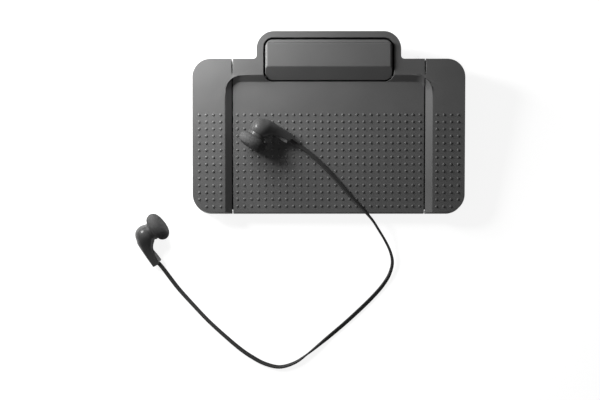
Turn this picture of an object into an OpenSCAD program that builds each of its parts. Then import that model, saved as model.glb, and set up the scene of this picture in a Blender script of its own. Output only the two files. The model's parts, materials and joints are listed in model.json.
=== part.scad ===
// Transcription foot control with a stereo listening headset.
// X runs across the pedals, +Y towards the hump at the rear, +Z up.
// The origin is the middle of the mat's underside, on the resting surface.

/* [Deck] */
// Width over both side pedals
deck_w = 211; // [200:1:220]
// Depth of the side pedals
wing_depth = 117.6; // [112:0.2:122]
// Width of the rear hump
hump_w = 111.7; // [108:0.1:116]
// How far the hump stands behind the side pedals
hump_depth = 21; // [19:0.5:23]
// Slope of the deck, in degrees
deck_tilt = 9; // [8.5:0.1:9.5]
// Height of the deck's front edge
deck_front_z = 18; // [17.8:0.1:19]
// Corner radius of the side pedals
deck_r = 14; // [10:0.5:16]
// Corner radius of the hump
hump_r = 13.5; // [10:0.5:15]
// Wall thickness of the pedals
wall = 2.4; // [2:0.1:2.6]
// Gap between neighbouring pedals
pedal_gap = 0.7; // [0.6:0.1:1]
// Half the distance between the two gaps
gap_x = 74.6; // [74:0.1:75.2]

/* [Recess] */
// Depth of the sunken middle plate
recess = 5; // [4.5:0.1:5.5]
// Half width of the sunken plate at its foot
recess_x = 74.9; // [74.7:0.1:75.3]
// Depth of the sunken plate, from the front edge to the rear wall's foot
recess_u = 101.1; // [100:0.1:101.5]
// Horizontal run of the recess's sloping walls
wall_run = 5.3; // [5:0.1:5.6]
// Corner radius at the recess's foot
recess_r = 7.2; // [6:0.1:8]

/* [Bar pedal] */
// Width of the bar pedal
bar_w = 98; // [96:0.5:98.5]
// Front and rear edges of the bar pedal, measured up the deck
bar_front_u = 102.2; // [102:0.1:102.6]
bar_rear_u = 133.7; // [133:0.1:133.9]
// Height of the bar's top over the deck
bar_proud = 3; // [2:0.1:3.5]
// How far the bar's front slope runs back
bar_slope = 10.9; // [10:0.1:11.5]
// Corner radius of the bar
bar_r = 6; // [5:0.5:7]

/* [Motion] */
// Travel of the three large pedals, in degrees
pedal_travel = 2; // [1.5:0.1:2]
// Travel of the bar pedal, in degrees
bar_travel = 5; // [4:0.5:5]
// Diameter of the steel rod that the large pedals turn on
rod_d = 4; // [3.6:0.1:4]
// Running clearance between a rod and a lug's bore
running = 0.05; // [0.03:0.01:0.08]

/* [Headset] */
// Diameter of the earphone's ball
ball_d = 16.4; // [16:0.1:17]
// Diameter of the foam pad
pad_d = 23; // [22.5:0.1:23.5]
// Thickness of the foam pad
pad_t = 9.5; // [9:0.1:10]
// Width of the flat lead
lead_w = 3.2; // [2.8:0.1:3.4]
// Thickness of the flat lead
lead_t = 1.5; // [1.3:0.1:1.7]

/* [Hidden] */
$fn = 64;

// Outline of the deck and the planes that bound it
deck_depth = wing_depth + hump_depth;
front_y = -deck_depth / 2;
wing_rear_y = front_y + wing_depth;
hump_overlap = 34;
fillet_r = 2.5;
skirt_front_z = 5;
skirt_tilt = 5.7;
reach = 160;

// Base tray
base_inset = 3.4;
tray_wall = 2.2;
mat_t = 1.5;
steel_t = 1.5;
tray_z = mat_t + steel_t;
floor_z = tray_z + 2;
tray_rim_z = 6.6;
tray_rim_slope = 0.19;
gap_lip = [4, tray_wall / 2 + base_inset - 0.2, 11];

// Pivots
rod_y = 36;
rod_z = 21;
rod_r = rod_d / 2;
lug_r = 5;
rod_half = 97.5;
plate_lug_x = 60;
side_lug_xs = [80.5, 93.5];
upright_xs = [68, 88];
upright_t = 5;
lug_t = 5;
bar_axis_u = 127;
bar_axis_w = -8;
bar_rod_r = 1.5;
bar_rod_half = 41.5;
bar_lug_x = 38;
bar_lug_r = 4;
bar_post_x = 32.5;
bar_post_t = 4;

// Springs, stops, magnets and electronics
plate_spring_at = [45, -15];
side_spring_at = [91, -5];
bar_spring_at = [22, 46.5];
spring_r = 3.8;
wire_r = 0.45;
plate_spring_top = 17.2;
side_spring_top = 20;
bar_spring_foot = 20;
bar_spring_top = 34.6;
plate_hook_x = 25;
side_hook_x = 84;
hook_y = -20;
buffer_r = 3.5;
bar_buffer_r = 2.4;
plate_buffer_at = [50, -50];
side_buffer_at = [87, -50];
bar_buffer_at = [43, 44];
bar_buffer_foot = 20;
bar_stop_z = 31;
stop_gap = 0.2;
rib_t = 1.2;
rib_us = [22, 96];
side_rib_xs = [80, 98];
plate_rib_xs = [15, 35, 55];
board_z = 7.5;
board_t = 1.6;
side_sensor_x = 86;
sensor_y = 13;
bar_sensor_y = 49.5;
magnet_r = 3;
magnet_h = 3;
magnet_z = 14.5;
screw_xys = [[95, -50], [95, 20], [46, 56]];
board_screw_xys = [[60, 13], [12, 30]];
grommet_at = [22, 10];

// Opening for the bar pedal in the deck
opening = [100.8, 101.2, 135.2];
opening_r = 7.5;

// Headset: each earphone's ball centre, and the lead's route as [x, y, z, roll]
left_ball = [-142.7, -86.2, ball_d / 2 + 0.45];
right_ball = [-52.6, 65.2, 6];
lead_route = [
  [-132.9, -107.6, 3.8, 5], [-129.4, -111.7, 2.9, 5], [-123.5, -119.5, 1.8, 10], [-116.5, -128.4, 1.1, 20],
  [-105, -141, 1.2, 35], [-93.5, -153, 1.3, 38], [-81, -164.4, 1.2, 35], [-69, -174.5, 1.1, 25],
  [-59.5, -181, 1, 20], [-49.5, -186.2, 1.2, 30], [-38, -188.7, 1.4, 45], [-26.5, -185.5, 1.6, 60],
  [-16.5, -178.8, 1.7, 90], [-7, -171.2, 1.6, 120], [1, -164.6, 1.3, 145], [13.3, -154.2, 1.1, 155],
  [25, -143.5, 1, 160], [34.2, -134.5, 1.1, 155], [42, -125.7, 1.4, 145], [47.5, -117, 1.9, 132],
  [50, -107.7, 3, 125], [48.4, -99.2, 4.8, 112], [44.5, -91, 7.4, 108], [39.3, -82.7, 10.9, 106],
  [34.6, -75.6, 13.8, 108], [29.3, -69.4, 15.2, 115], [23.5, -63.4, 16.2, 130], [17, -56.5, 17.1, 140],
  [9, -47.2, 18.4, 150], [0, -37.3, 20, 150], [-9.5, -28.2, 21.3, 155], [-18.3, -21, 22.6, 160],
  [-25, -17, 24, 170], [-28.2, -14.9, 26.1, 175], [-31, -13.3, 27.5, 180]
];

function deck_point(x, u, w) = [
  x,
  front_y + u * cos(deck_tilt) - w * sin(deck_tilt),
  deck_front_z + u * sin(deck_tilt) + w * cos(deck_tilt)
];

bar_axis = deck_point(0, bar_axis_u, bar_axis_w);

// Height of a large pedal's underside, drop below the deck, when it is pressed right down
function pressed_z(y, drop) = deck_front_z - drop / cos(deck_tilt) + (y - front_y) * tan(deck_tilt)
  - (rod_y - y) * sin(pedal_travel);
bar_pressed_z = bar_stop_z - (bar_axis[1] - bar_buffer_at[1] + bar_buffer_r) * sin(bar_travel);

module deck_frame() {
  translate([0, front_y, deck_front_z]) rotate([deck_tilt, 0, 0]) children();
}

module both_sides() {
  children();
  mirror([1, 0, 0]) children();
}

// A rectangle from y0 to y1, centred on X, with round corners
module rounded(width, y0, y1, r) {
  translate([-width / 2 + r, y0]) square([width - 2 * r, y1 - y0]);
  translate([-width / 2, y0 + r]) square([width, y1 - y0 - 2 * r]);
  for (sx = [-1, 1], y = [y0 + r, y1 - r]) translate([sx * (width / 2 - r), y]) circle(r);
}

// The deck's plan, drawn in by inset all round
module deck_plan(inset) {
  rounded(deck_w - 2 * inset, front_y + inset, wing_rear_y - inset, deck_r - inset);
  rounded(
    hump_w - 2 * inset, wing_rear_y - hump_overlap, front_y + deck_depth - inset, hump_r - inset
  );
  r = fillet_r + inset;
  centre = [hump_w / 2 + fillet_r, wing_rear_y + fillet_r];
  for (sx = [-1, 1]) difference() {
    translate([sx * (centre[0] - r / 2 - 0.5), centre[1] - r / 2 - 0.5]) square(r + 1, center = true);
    translate([sx * centre[0], centre[1]]) circle(r);
  }
}

// Everything from x0 to x1 between the skirt plane and a plane drop below the deck
module side_profile(x0, x1, drop, low) {
  y0 = front_y - 5;
  y1 = front_y + deck_depth + 5;
  top = [for (y = [y0, y1]) deck_front_z - drop / cos(deck_tilt) + (y - front_y) * tan(deck_tilt)];
  foot = [for (y = [y0, y1]) low + (y - front_y) * tan(skirt_tilt)];
  translate([x0, 0, 0]) rotate([90, 0, 90]) linear_extrude(x1 - x0)
    polygon([[y0, foot[0]], [y1, foot[1]], [y1, top[1]], [y0, top[0]]]);
}

// The sunken area of the middle plate, drawn out by skin all round
module recess_cut(skin) {
  lift = 3;
  out = skin * 0.42;
  foot_w = -recess - skin;
  run = wall_run * (recess + skin) / recess;
  foot_x = recess_x + out;
  foot_u = recess_u + out;
  r = recess_r + out;
  centre = [foot_x - r, foot_u - r];
  deck_frame() {
    translate([-centre[0], 0, 0]) rotate([90, 0, 90]) linear_extrude(2 * centre[0])
      polygon([[-20, foot_w], [foot_u, foot_w], [foot_u + run, 0], [foot_u + run, lift], [-20, lift]]);
    translate([0, centre[1], 0]) rotate([90, 0, 0]) linear_extrude(centre[1] + 20)
      polygon([
        [-foot_x, foot_w], [foot_x, foot_w], [foot_x + run, 0], [foot_x + run, lift],
        [-foot_x - run, lift], [-foot_x - run, 0]
      ]);
    for (sx = [-1, 1]) translate([sx * centre[0], centre[1], 0]) rotate_extrude()
      polygon([[0, foot_w], [r, foot_w], [r + run, 0], [r + run, lift], [0, lift]]);
  }
}

// The outside of the deck from x0 to x1
module deck_outer(x0, x1) {
  difference() {
    intersection() {
      linear_extrude(60) deck_plan(0);
      side_profile(x0, x1, 0, skirt_front_z);
    }
    recess_cut(0);
  }
}

// The room under the deck from x0 to x1
module deck_inner(x0, x1) {
  difference() {
    intersection() {
      linear_extrude(60) deck_plan(wall - 0.2);
      side_profile(x0, x1, wall, -20);
    }
    recess_cut(wall);
  }
}

module x_rod(r, x0, x1) {
  translate([x0, 0, 0]) rotate([0, 90, 0]) cylinder(h = x1 - x0, r = r);
}

// A plate of thickness t at x that carries a bore on the large pedals' axis
module rod_lug(x) {
  translate([x - lug_t / 2, rod_y, rod_z]) {
    x_rod(lug_r, 0, lug_t);
    translate([0, -lug_r, 0]) cube([lug_t, 2 * lug_r, 40]);
  }
}

module boss(x, y, z, r) {
  translate([x, y, z]) cylinder(h = 50, r = r);
}

// A stiffening rib that reaches down to drop below the deck
module rib(x, drop) {
  deck_frame() translate([x, rib_us[0], -drop]) cube([rib_t, rib_us[1] - rib_us[0], drop]);
}

// A leg with a forward toe that catches under the tray's ledge
module hook(x) {
  translate([x - 3, hook_y - 1, 10.2]) cube([6, 2, 40]);
  translate([x - 3, hook_y - 3, 10.2]) cube([6, 3, 2]);
}

module hook_catch(x) {
  translate([x - 4, hook_y - 8, floor_z - 1]) cube([8, 2.5, 10.4]);
  translate([x - 4, hook_y - 8, 12.4]) cube([8, 6.4, 2]);
}

module rod_bore() {
  translate([0, rod_y, rod_z]) x_rod(rod_r + running, -rod_half - 0.4, rod_half + 0.4);
}

module magnet_pocket(x, y) {
  translate([x, y, magnet_z - 1]) cylinder(h = magnet_h + 1, r = magnet_r);
}

module magnet(x, y) {
  translate([x, y, magnet_z]) cylinder(h = magnet_h, r = magnet_r);
}

// Side pedal on the right; the left one is its mirror image
module side_pedal() {
  inner_edge = gap_x + pedal_gap / 2;
  difference() {
    deck_outer(inner_edge, reach);
    difference() {
      deck_inner(inner_edge - 5, reach);
      for (x = side_lug_xs) rod_lug(x);
      boss(side_spring_at[0], side_spring_at[1], side_spring_top, 5);
      boss(side_sensor_x, sensor_y, magnet_z, 4.5);
      hook(side_hook_x);
      for (x = side_rib_xs) rib(x, wall + 3);
    }
    rod_bore();
    magnet_pocket(side_sensor_x, sensor_y);
  }
}

module right_pedal() {
  color("#4a4a4c") side_pedal();
}

module left_pedal() {
  color("#4a4a4c") mirror([1, 0, 0]) side_pedal();
}

module centre_pedal() {
  edge = gap_x - pedal_gap / 2;
  color("#454547") difference() {
    deck_outer(-edge, edge);
    difference() {
      deck_inner(-edge - 5, edge + 5);
      for (sx = [-1, 1]) {
        rod_lug(sx * plate_lug_x);
        boss(sx * plate_spring_at[0], plate_spring_at[1], plate_spring_top, 5);
        hook(sx * plate_hook_x);
      }
      boss(0, sensor_y, magnet_z, 4.5);
      both_sides() for (x = plate_rib_xs) rib(x, recess + wall + 2);
    }
    deck_frame() translate([0, 0, -40]) linear_extrude(60)
      rounded(opening[0], opening[1], opening[2], opening_r);
    rod_bore();
    magnet_pocket(0, sensor_y);
  }
}

// The bar pedal's plan, drawn in by inset, extruded across the deck
module bar_solid(inset, low) {
  top = bar_proud - inset;
  chamfer = 1.4;
  intersection() {
    translate([0, 0, low]) linear_extrude(20)
      rounded(bar_w - 2 * inset, bar_front_u + inset, bar_rear_u - inset, bar_r - inset);
    translate([-bar_w / 2, 0, 0]) rotate([90, 0, 90]) linear_extrude(bar_w)
      polygon([
        [bar_front_u + inset, low - 1], [bar_front_u + inset, top - 8],
        [bar_front_u + bar_slope + inset * 0.4, top], [bar_rear_u - 2.7 - inset * 0.4, top],
        [bar_rear_u - inset, top - 2.6], [bar_rear_u - inset, low - 1]
      ]);
    translate([0, bar_rear_u + 5, 0]) rotate([90, 0, 0]) linear_extrude(40)
      polygon([
        [-bar_w / 2 + inset, low - 1], [-bar_w / 2 + inset, top - chamfer],
        [-bar_w / 2 + inset + chamfer, top], [bar_w / 2 - inset - chamfer, top],
        [bar_w / 2 - inset, top - chamfer], [bar_w / 2 - inset, low - 1]
      ]);
  }
}

module bar_pedal() {
  skirt_w = -6.5;
  ceiling = bar_proud - 2;
  color("#4a4a4c") difference() {
    union() {
      deck_frame() difference() {
        bar_solid(0, skirt_w);
        bar_solid(2, skirt_w - 5);
      }
      deck_frame() for (sx = [-1, 1]) translate([sx * bar_lug_x - 2, bar_axis_u, bar_axis_w]) {
        x_rod(bar_lug_r, 0, 4);
        translate([0, -bar_lug_r, 0]) cube([4, 2 * bar_lug_r, ceiling - bar_axis_w + 0.5]);
      }
      intersection() {
        union() {
          for (sx = [-1, 1]) boss(sx * bar_spring_at[0], bar_spring_at[1], bar_spring_top, 4);
          for (sx = [-1, 1]) boss(sx * bar_buffer_at[0], bar_buffer_at[1], bar_stop_z, 3);
          boss(0, bar_sensor_y, magnet_z, 4.5);
        }
        deck_frame() translate([-60, 60, -60]) cube([120, 100, 60 + ceiling + 0.5]);
      }
    }
    deck_frame() translate([-60, bar_axis_u, bar_axis_w]) x_rod(bar_rod_r + running, 0, 120);
    magnet_pocket(0, bar_sensor_y);
  }
}

// Base

module cup(x, y, z) {
  difference() {
    translate([x, y, z - 1]) cylinder(h = 4, r = 6);
    translate([x, y, z]) cylinder(h = 4, r = 4.8);
  }
  translate([x, y, z - 1]) cylinder(h = 8, r = 2.4);
}

module upright(x) {
  translate([x - upright_t / 2, rod_y, 0]) {
    translate([0, 0, rod_z]) x_rod(lug_r, 0, upright_t);
    translate([0, -lug_r, floor_z - 1]) cube([upright_t, 2 * lug_r, rod_z - floor_z + 1]);
  }
}

module bar_post() {
  translate([bar_post_x - bar_post_t / 2, bar_axis[1], 0]) {
    translate([0, 0, bar_axis[2]]) x_rod(bar_lug_r, 0, bar_post_t);
    translate([0, -bar_lug_r, floor_z - 1])
      cube([bar_post_t, 2 * bar_lug_r, bar_axis[2] - floor_z + 1]);
  }
}

module base_tray() {
  y0 = front_y - 5;
  y1 = front_y + deck_depth + 5;
  rim = [for (y = [y0, y1]) tray_rim_z + (y - front_y - base_inset) * tray_rim_slope];
  color("#28282a") difference() {
    union() {
      difference() {
        intersection() {
          linear_extrude(60) deck_plan(base_inset);
          translate([-reach, 0, 0]) rotate([90, 0, 90]) linear_extrude(2 * reach)
            polygon([[y0, tray_z], [y1, tray_z], [y1, rim[1]], [y0, rim[0]]]);
        }
        translate([0, 0, floor_z]) linear_extrude(60) deck_plan(base_inset + tray_wall);
      }
      both_sides() {
        for (x = upright_xs) upright(x);
        bar_post();
        cup(plate_spring_at[0], plate_spring_at[1], floor_z);
        cup(side_spring_at[0], side_spring_at[1], floor_z);
        hook_catch(plate_hook_x);
        hook_catch(side_hook_x);
        translate([bar_spring_at[0], bar_spring_at[1], floor_z - 1])
          cylinder(h = bar_spring_foot - floor_z + 1, r = 4.6);
        translate([bar_spring_at[0], bar_spring_at[1], floor_z])
          cylinder(h = bar_spring_foot - floor_z + 6, r = 2.4);
        translate([bar_buffer_at[0], bar_buffer_at[1], floor_z - 1])
          cylinder(h = bar_buffer_foot - floor_z + 1, r = 3);
        translate([gap_x - 2, wing_rear_y - base_inset - tray_wall / 2, tray_z]) cube(gap_lip);
        for (p = screw_xys) translate([p[0], p[1], floor_z - 1]) cylinder(h = 8, r = 4);
        for (p = board_screw_xys) translate([p[0], p[1], floor_z - 1])
          cylinder(h = board_z - floor_z + 1, r = 3);
      }
    }
    both_sides() for (p = screw_xys) translate([p[0], p[1], tray_z - 1])
      cylinder(h = 8, r = 1.5);
    both_sides() for (p = board_screw_xys) translate([p[0], p[1], floor_z - 1.2])
      cylinder(h = 8, r = 1);
    translate([0, rod_y, rod_z]) x_rod(rod_r, -rod_half, rod_half);
    translate([0, bar_axis[1], bar_axis[2]]) x_rod(bar_rod_r, -bar_rod_half, bar_rod_half);
    translate([grommet_at[0], front_y + deck_depth + 5, grommet_at[1]]) rotate([90, 0, 0])
      cylinder(h = 14, r = 3.4);
  }
}

module ballast_plate() {
  color("#8d8f91") difference() {
    translate([0, 0, mat_t]) linear_extrude(steel_t) deck_plan(base_inset + 1.6);
    both_sides() for (p = screw_xys) translate([p[0], p[1], 0]) cylinder(h = 9, r = 1.7);
  }
}

module anti_slip_mat() {
  color("#1b1b1c") difference() {
    linear_extrude(mat_t) deck_plan(base_inset + 4.6);
    both_sides() for (p = screw_xys) translate([p[0], p[1], -1]) cylinder(h = 9, r = 4.2);
  }
}

module base_screws() {
  head = 1.2;
  color("#9b9da0") both_sides() for (p = screw_xys) translate([p[0], p[1], mat_t - head]) difference() {
    union() {
      cylinder(h = head, r = 2.8);
      cylinder(h = head + 7.5, r = 1.45);
    }
    translate([-2, -0.35, -0.4]) cube([4, 0.7, 1]);
    translate([-0.35, -2, -0.4]) cube([0.7, 4, 1]);
  }
}

module pedal_rod() {
  color("#b4b6b8") translate([0, rod_y, rod_z]) x_rod(rod_r, -rod_half, rod_half);
}

module rod_clips() {
  clip_x = side_lug_xs[1] + lug_t / 2 + 0.3;
  color("#6e7073") both_sides() translate([clip_x, rod_y, rod_z]) difference() {
    x_rod(4, 0, 0.7);
    x_rod(rod_r, -1, 2);
    translate([-1, -1.2, -5]) cube([3, 2.4, 5]);
  }
}

module bar_rod() {
  color("#b4b6b8") translate([0, bar_axis[1], bar_axis[2]]) x_rod(bar_rod_r, -bar_rod_half, bar_rod_half);
}

module circuit_board() {
  color("#2f6b45") difference() {
    translate([0, 0, board_z]) linear_extrude(board_t) union() {
      translate([-89.2, 2.5]) square([178.4, 21.5]);
      translate([-16, 20]) square([32, 36]);
    }
    both_sides() for (p = board_screw_xys) translate([p[0], p[1], 0]) cylinder(h = 20, r = 1.2);
  }
}

module field_sensors() {
  color("#202022") for (p = [
    [-side_sensor_x, sensor_y], [0, sensor_y], [side_sensor_x, sensor_y], [0, bar_sensor_y]
  ]) translate([p[0] - 2, p[1] - 1.5, board_z + board_t]) cube([4, 3, 1.5]);
}

module controller_chip() {
  color("#232325") translate([-34, 7, board_z + board_t]) {
    cube([9, 9, 1.2]);
    for (i = [0:7]) translate([-0.8, 0.6 + i, 0]) cube([10.6, 0.5, 0.4]);
  }
}

module cord_header() {
  color("#e6e2d6") translate([4, 50.2, board_z + board_t]) difference() {
    cube([9, 5, 4.5]);
    translate([1, 1, 1]) cube([7, 5, 2.6]);
  }
}

module board_screws() {
  color("#b4b6b8") both_sides() for (p = board_screw_xys) translate([p[0], p[1], board_z + board_t]) {
    cylinder(h = 1.2, r = 2.1);
    translate([0, 0, -4.5]) cylinder(h = 5, r = 0.95);
  }
}

module cord_grommet() {
  wall_y = front_y + deck_depth - base_inset;
  color("#1d1d1e") translate([grommet_at[0], wall_y - tray_wall - 1.2, grommet_at[1]])
    rotate([-90, 0, 0]) difference() {
      union() {
        cylinder(h = 1.2, r = 4.8);
        cylinder(h = tray_wall + 2.4, r = 3.4);
        translate([0, 0, tray_wall + 1.2]) cylinder(h = 1.2, r = 4.8);
      }
      translate([0, 0, -1]) cylinder(h = tray_wall + 6, r = 2.1);
    }
}

module plate_buffers() {
  color("#3a2f2c") both_sides() translate([plate_buffer_at[0], plate_buffer_at[1], floor_z])
    cylinder(h = pressed_z(plate_buffer_at[1] - buffer_r, recess + wall) - stop_gap - floor_z, r = buffer_r);
}

module side_buffers() {
  color("#3a2f2c") both_sides() translate([side_buffer_at[0], side_buffer_at[1], floor_z])
    cylinder(h = pressed_z(side_buffer_at[1] - buffer_r, wall) - stop_gap - floor_z, r = buffer_r);
}

module bar_buffers() {
  color("#3a2f2c") both_sides() translate([bar_buffer_at[0], bar_buffer_at[1], bar_buffer_foot])
    cylinder(h = bar_pressed_z - stop_gap - bar_buffer_foot, r = bar_buffer_r);
}

// A coil spring: a round wire swept up a helix, with its ends closed
module coil(turns, height, r) {
  sides = 6;
  steps = 14;
  n = turns * steps;
  rise = height - 2 * wire_r;
  rings = [for (i = [0:n]) let (a = 360 * i / steps, z = wire_r + rise * i / n)
    [for (k = [0:sides - 1]) let (b = 360 * k / sides, q = r + wire_r * cos(b))
      [q * cos(a), q * sin(a), z + wire_r * sin(b)]]];
  points = [for (ring = rings, p = ring) p];
  faces = concat(
    [[for (k = [0:sides - 1]) k]],
    [for (i = [0:n - 1], k = [0:sides - 1]) let (m = (k + 1) % sides)
      [i * sides + k, (i + 1) * sides + k, (i + 1) * sides + m, i * sides + m]],
    [[for (k = [sides - 1:-1:0]) n * sides + k]]
  );
  polyhedron(points, faces, convexity = 10);
}

module side_coil() {
  translate([side_spring_at[0], side_spring_at[1], floor_z + 0.05])
    coil(6, side_spring_top - floor_z - 0.1, spring_r);
}

module right_spring() {
  color("#a6a8aa") side_coil();
}

module left_spring() {
  color("#a6a8aa") mirror([1, 0, 0]) side_coil();
}

module centre_springs() {
  color("#a6a8aa") both_sides() translate([plate_spring_at[0], plate_spring_at[1], floor_z + 0.05])
    coil(5, plate_spring_top - floor_z - 0.1, spring_r);
}

module bar_springs() {
  color("#a6a8aa") both_sides() translate([bar_spring_at[0], bar_spring_at[1], bar_spring_foot + 0.05])
    coil(5, bar_spring_top - bar_spring_foot - 0.1, 3.2);
}

module right_magnet() {
  color("#9fa1a5") magnet(side_sensor_x, sensor_y);
}

module left_magnet() {
  color("#9fa1a5") magnet(-side_sensor_x, sensor_y);
}

module centre_magnet() {
  color("#9fa1a5") magnet(0, sensor_y);
}

module bar_magnet() {
  color("#9fa1a5") magnet(0, bar_sensor_y);
}

// Earphones. In an earphone's own frame the ball is at the origin, the pad faces +X and the
// stem runs off at stem_turn from +X, in the XY plane, stem_out to the side away from the pad. The
// rim, driver, grille and pad are set face_out towards the stem.
stem_turn = -97.3;
stem_len = 24.8;
stem_out = 4.5;
stem_w = 6.1;
rim_x = 5;
rim_r = 7.2;
rim_end = 12.2;
pad_x = 7.25;
pocket_gap = 0.2;
face_out = 0.5;
grille_t = 0.6;

stem_root_r = 5.8;

module x_disc(x0, x1, r) {
  translate([x0, 0, 0]) rotate([0, 90, 0]) cylinder(h = x1 - x0, r = r);
}

module x_cone(x0, x1, r0, r1) {
  translate([x0, 0, 0]) rotate([0, 90, 0]) cylinder(h = x1 - x0, r1 = r0, r2 = r1);
}

// A ball about the X axis, cut off flat at x1
module x_ball(r, x1) {
  rotate([0, 90, 0]) rotate_extrude() intersection() {
    circle(r);
    translate([0, -r]) square([r, r + x1]);
  }
}

module ear_shell() {
  root = [4, -3.4];
  drift = atan2(stem_out + root[1], stem_len - root[0]);
  difference() {
    union() {
      x_ball(ball_d / 2, rim_x);
      rotate([0, 0, stem_turn]) translate([root[0], root[1], 0]) rotate([0, 0, -drift])
        x_cone(0, stem_len - root[0], stem_root_r, stem_w / 2);
    }
    x_ball(ball_d / 2 - 1.4, rim_x + 1);
  }
}

// The seam strip along the inner side of the stem, which ends square
module ear_cover() {
  rotate([0, 0, stem_turn]) translate([0, 0, -1.1]) linear_extrude(2.2)
    polygon([[12.4, -3.2], [12.4, -1.2], [13.4, -0.7], [17.4, 0.1], [22.2, 0.65], [23.2, 0.5], [23.2, -3.2]]);
}

module ear_face() {
  translate([0, -face_out, 0]) children();
}

module ear_rim() {
  difference() {
    x_disc(rim_x, rim_end, rim_r);
    x_disc(rim_x - 1, rim_end + 1, rim_r - 1.2);
  }
}

module ear_driver() {
  x_disc(rim_x, rim_end - 2, rim_r - 1.3);
}

module ear_grille() {
  difference() {
    x_disc(rim_end, rim_end + grille_t, rim_r);
    for (ring = [1:2], i = [0:6 * ring - 1]) rotate([360 * i / (6 * ring), 0, 0])
      translate([rim_end - 1, 0, 2.2 * ring]) rotate([0, 90, 0]) cylinder(h = 3, r = 0.7, $fn = 16);
  }
}

// Foam pad: a thick round-edged disc with a pocket for the rim
module ear_pad() {
  edge = pad_t / 2;
  difference() {
    translate([pad_x, 0, 0]) rotate([0, 90, 0]) rotate_extrude() difference() {
      union() {
        square([pad_d / 2 - edge, pad_t]);
        translate([pad_d / 2 - edge, edge]) circle(edge);
      }
      translate([-20, -1]) square([20, pad_t + 2]);
    }
    x_disc(pad_x - 1, rim_end + grille_t + pocket_gap, rim_r + pocket_gap / 2);
  }
}

// The left earphone lies on the table and the right one, its mirror image, on the deck
module on_table() {
  translate(left_ball) rotate([0, 0, 35.5]) rotate([8.5, -14, 0]) children();
}

module on_deck() {
  deck_frame() translate(right_ball) rotate([0, 0, -124.5]) rotate([-12, -6, 0])
    mirror([0, 1, 0]) children();
}

module left_ear_shell() { color("#2b2b2d") on_table() ear_shell(); }
module left_ear_cover() { color("#3a3a3c") on_table() ear_cover(); }
module left_ear_rim() { color("#2b2b2d") on_table() ear_face() ear_rim(); }
module left_ear_driver() { color("#77797c") on_table() ear_face() ear_driver(); }
module left_ear_grille() { color("#55575a") on_table() ear_face() ear_grille(); }
module left_ear_pad() { color("#4d4d4f") on_table() ear_face() ear_pad(); }
module right_ear_shell() { color("#2b2b2d") on_deck() ear_shell(); }
module right_ear_cover() { color("#3a3a3c") on_deck() ear_cover(); }
module right_ear_rim() { color("#2b2b2d") on_deck() ear_face() ear_rim(); }
module right_ear_driver() { color("#77797c") on_deck() ear_face() ear_driver(); }
module right_ear_grille() { color("#55575a") on_deck() ear_face() ear_grille(); }
module right_ear_pad() { color("#4d4d4f") on_deck() ear_face() ear_pad(); }

// The flat lead: an eight-sided band swept along its route, turned by each point's roll
function unit(v) = v / norm(v);
function catmull(a, b, c, d, t) =
  0.5 * (2 * b + (c - a) * t + (2 * a - 5 * b + 4 * c - d) * t * t + (3 * b - a - 3 * c + d) * t * t * t);
function route_at(route, i) = route[max(0, min(len(route) - 1, i))];
function smooth_route(route, parts) = concat(
  [for (i = [0:len(route) - 2], k = [0:parts - 1])
    catmull(route_at(route, i - 1), route[i], route[i + 1], route_at(route, i + 2), k / parts)],
  [route[len(route) - 1]]
);

module headset_lead() {
  sides = 8;
  line = smooth_route(lead_route, 2);
  n = len(line) - 1;
  place = [for (p = line) [p[0], p[1], p[2]]];
  points = [for (i = [0:n]) let (
      ahead = unit(place[min(n, i + 1)] - place[max(0, i - 1)]),
      across = unit(cross(ahead, [0, 0, 1])),
      above = cross(across, ahead),
      roll = line[i][3]
    ) for (k = [0:sides - 1]) let (
      a = 360 * (k + 0.5) / sides,
      s = lead_w / 2 * cos(a),
      h = lead_t / 2 * sin(a)
    ) place[i] + across * (s * cos(roll) - h * sin(roll)) + above * (s * sin(roll) + h * cos(roll))];
  faces = concat(
    [[for (k = [sides - 1:-1:0]) k]],
    [for (i = [0:n - 1], k = [0:sides - 1]) let (m = (k + 1) % sides)
      [i * sides + k, i * sides + m, (i + 1) * sides + m, (i + 1) * sides + k]],
    [[for (k = [0:sides - 1]) n * sides + k]]
  );
  color("#232325") polyhedron(points, faces, convexity = 10);
}

base_tray();
ballast_plate();
anti_slip_mat();
base_screws();
pedal_rod();
rod_clips();
bar_rod();
circuit_board();
field_sensors();
controller_chip();
cord_header();
board_screws();
cord_grommet();
plate_buffers();
side_buffers();
bar_buffers();
left_spring();
right_spring();
centre_springs();
bar_springs();
left_pedal();
left_magnet();
right_pedal();
right_magnet();
centre_pedal();
centre_magnet();
bar_pedal();
bar_magnet();
left_ear_shell();
left_ear_cover();
left_ear_rim();
left_ear_driver();
left_ear_grille();
left_ear_pad();
right_ear_shell();
right_ear_cover();
right_ear_rim();
right_ear_driver();
right_ear_grille();
right_ear_pad();
headset_lead();
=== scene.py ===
# %% [markdown]
# # A transcription foot control and its headset
# A typist presses this low wedge with one foot to play, wind back and wind on a recording, and
# listens through two soft earphones. Here the object gets its looks: rounded plastic edges,
# moulded grain, grip dots, foam pads and a flat rubber lead. Its measured parts come from a CAD
# model that is loaded as a fixed frame, and every new piece is placed from the CAD numbers.
# Lengths are in metres, +X runs across the pedals, +Y towards the rear and +Z up.

# %% Load the measured parts
import bpy
import bmesh
import json
from math import atan2, cos, pi, radians, sin
from mathutils import Matrix, Vector


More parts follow.
